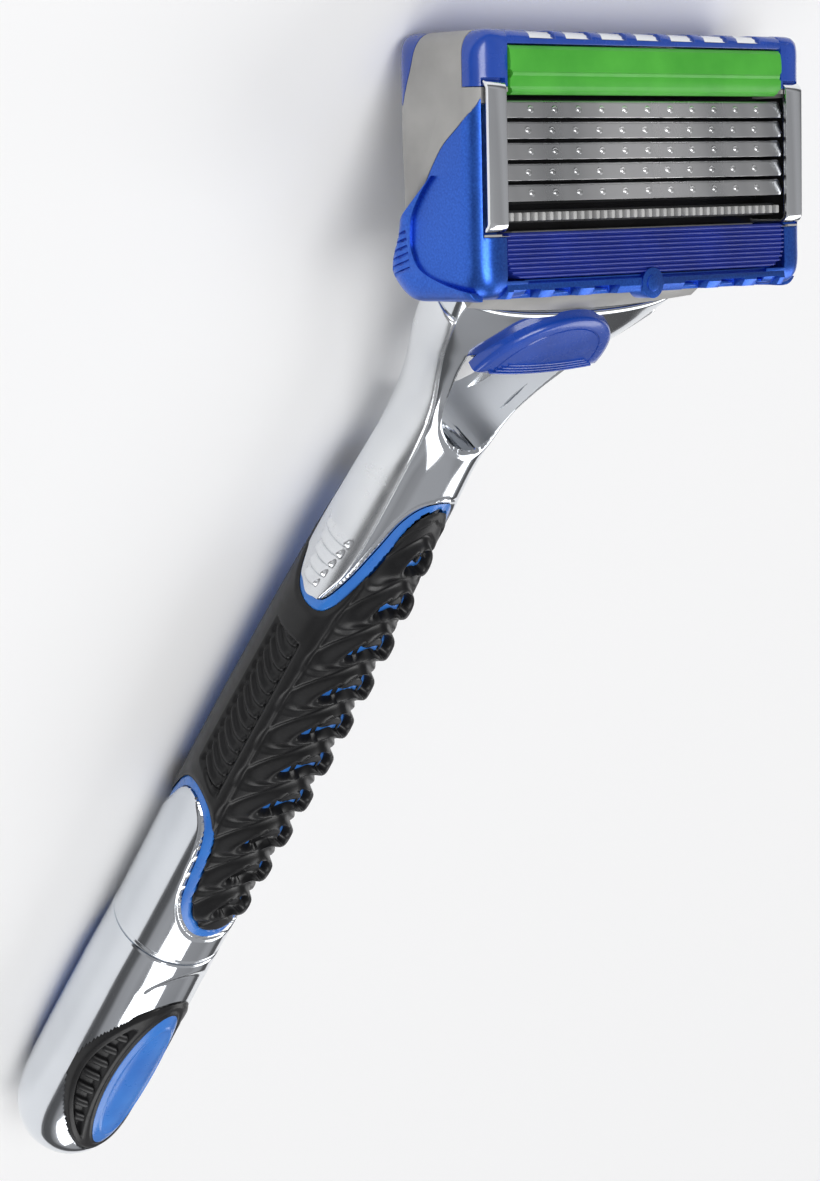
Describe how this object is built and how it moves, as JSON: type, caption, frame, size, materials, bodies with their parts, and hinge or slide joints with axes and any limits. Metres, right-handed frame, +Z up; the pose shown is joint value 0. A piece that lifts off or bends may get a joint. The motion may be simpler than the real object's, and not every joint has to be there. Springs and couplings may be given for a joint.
{
  "type": "cartridge razor",
  "caption": "Manual wet razor: chromed handle with a soft ribbed grip and loop head, and a pivoting multi-blade cartridge on a quick-release connector.",
  "frame": {"origin": "on the surface the razor lies on, under the middle of its bounding box", "axes": "+X across the cartridge, +Y towards the butt with the head towards -Y, +Z up to the blade side"},
  "size_m": [0.042, 0.1536, 0.0215],
  "materials": {
    "chrome": "polished chrome plate",
    "pearl_chrome": "satin pearl chrome",
    "royal_blue": "gloss blue moulding",
    "shell_blue": "satin metallic blue moulding",
    "liner_blue": "gloss bright blue moulding",
    "guard_blue": "matt dark blue elastomer",
    "soft_black": "matt black elastomer",
    "warm_grey": "satin warm grey moulding",
    "dark_plastic": "dark moulding",
    "blade_steel": "brushed blade strip",
    "support_steel": "bent sheet",
    "spring_steel": "drawn wire",
    "clip_metal": "polished",
    "strip_green": "waxy green strip"
  },
  "bodies": {
    "handle": {"head_frame": "chrome", "head_back_cover": "dark_plastic", "side_tongue_left": "pearl_chrome", "side_tongue_right": "pearl_chrome", "handle_core": "dark_plastic", "grip_liner": "liner_blue", "grip_sleeve": "soft_black", "lower_body": "chrome", "end_cap": "chrome", "cap_pad": "soft_black", "cap_badge": "liner_blue", "back_spine": "liner_blue", "docking_nose": "dark_plastic", "button_spring": "spring_steel", "plunger_spring": "spring_steel"},
    "button": {"release_button": "royal_blue", "ejector_slide": "dark_plastic"},
    "plunger": {"plunger": "dark_plastic"},
    "connector": {"connector": "warm_grey"},
    "cartridge": {"blade_housing": "warm_grey", "guard_shell": "shell_blue", "cap_cover": "royal_blue", "trimmer_blade": "blade_steel", "trimmer_comb": "guard_blue", "lubricating_strip": "strip_green", "fin_guard": "guard_blue", "comb_guard": "warm_grey", "clip_left": "clip_metal", "clip_right": "clip_metal"},
    "blade_unit_1": {"blade_1": "blade_steel", "blade_support_1": "support_steel"},
    "blade_unit_2": {"blade_2": "blade_steel", "blade_support_2": "support_steel"},
    "blade_unit_3": {"blade_3": "blade_steel", "blade_support_3": "support_steel"},
    "blade_unit_4": {"blade_4": "blade_steel", "blade_support_4": "support_steel"},
    "blade_unit_5": {"blade_5": "blade_steel", "blade_support_5": "support_steel"}
  },
  "joints": [
    {"name": "cartridge_release", "type": "slide", "parent": "handle", "child": "connector", "axis": [0, -0.9624, 0.2718], "range_m": [0, 0.02]},
    {"name": "cartridge_pivot", "type": "hinge", "parent": "connector", "child": "cartridge", "pos_m": [0, -0.05957, 0.01392], "axis": [1, 0, 0], "range_deg": [0, 40], "stiffness_Nm_per_rad": 0.02, "springref_deg": -11.46},
    {"name": "button_slide", "type": "slide", "parent": "handle", "child": "button", "axis": [0, -0.9624, 0.2718], "range_m": [0, 0.0025], "stiffness_N_per_m": 300, "springref_m": -0.001, "deforming": ["button_spring"]},
    {"name": "plunger_slide", "type": "slide", "parent": "handle", "child": "plunger", "axis": [0, -0.9624, 0.2718], "range_m": [-0.0012, 0], "deforming": ["plunger_spring"]},
    {"name": "blade_float_1", "type": "slide", "parent": "cartridge", "child": "blade_unit_1", "axis": [0, 0.6119, -0.7909], "range_m": [0, 0.0003], "stiffness_N_per_m": 250, "springref_m": -0.0002},
    {"name": "blade_float_2", "type": "slide", "parent": "cartridge", "child": "blade_unit_2", "axis": [0, 0.6119, -0.7909], "range_m": [0, 0.0003], "stiffness_N_per_m": 250, "springref_m": -0.0002},
    {"name": "blade_float_3", "type": "slide", "parent": "cartridge", "child": "blade_unit_3", "axis": [0, 0.6119, -0.7909], "range_m": [0, 0.0003], "stiffness_N_per_m": 250, "springref_m": -0.0002},
    {"name": "blade_float_4", "type": "slide", "parent": "cartridge", "child": "blade_unit_4", "axis": [0, 0.6119, -0.7909], "range_m": [0, 0.0003], "stiffness_N_per_m": 250, "springref_m": -0.0002},
    {"name": "blade_float_5", "type": "slide", "parent": "cartridge", "child": "blade_unit_5", "axis": [0, 0.6119, -0.7909], "range_m": [0, 0.0003], "stiffness_N_per_m": 250, "springref_m": -0.0002}
  ],
  "couplings": [
    {"joint": "plunger_slide", "follows": "cartridge_pivot", "m_per_rad": -0.001715}
  ]
}
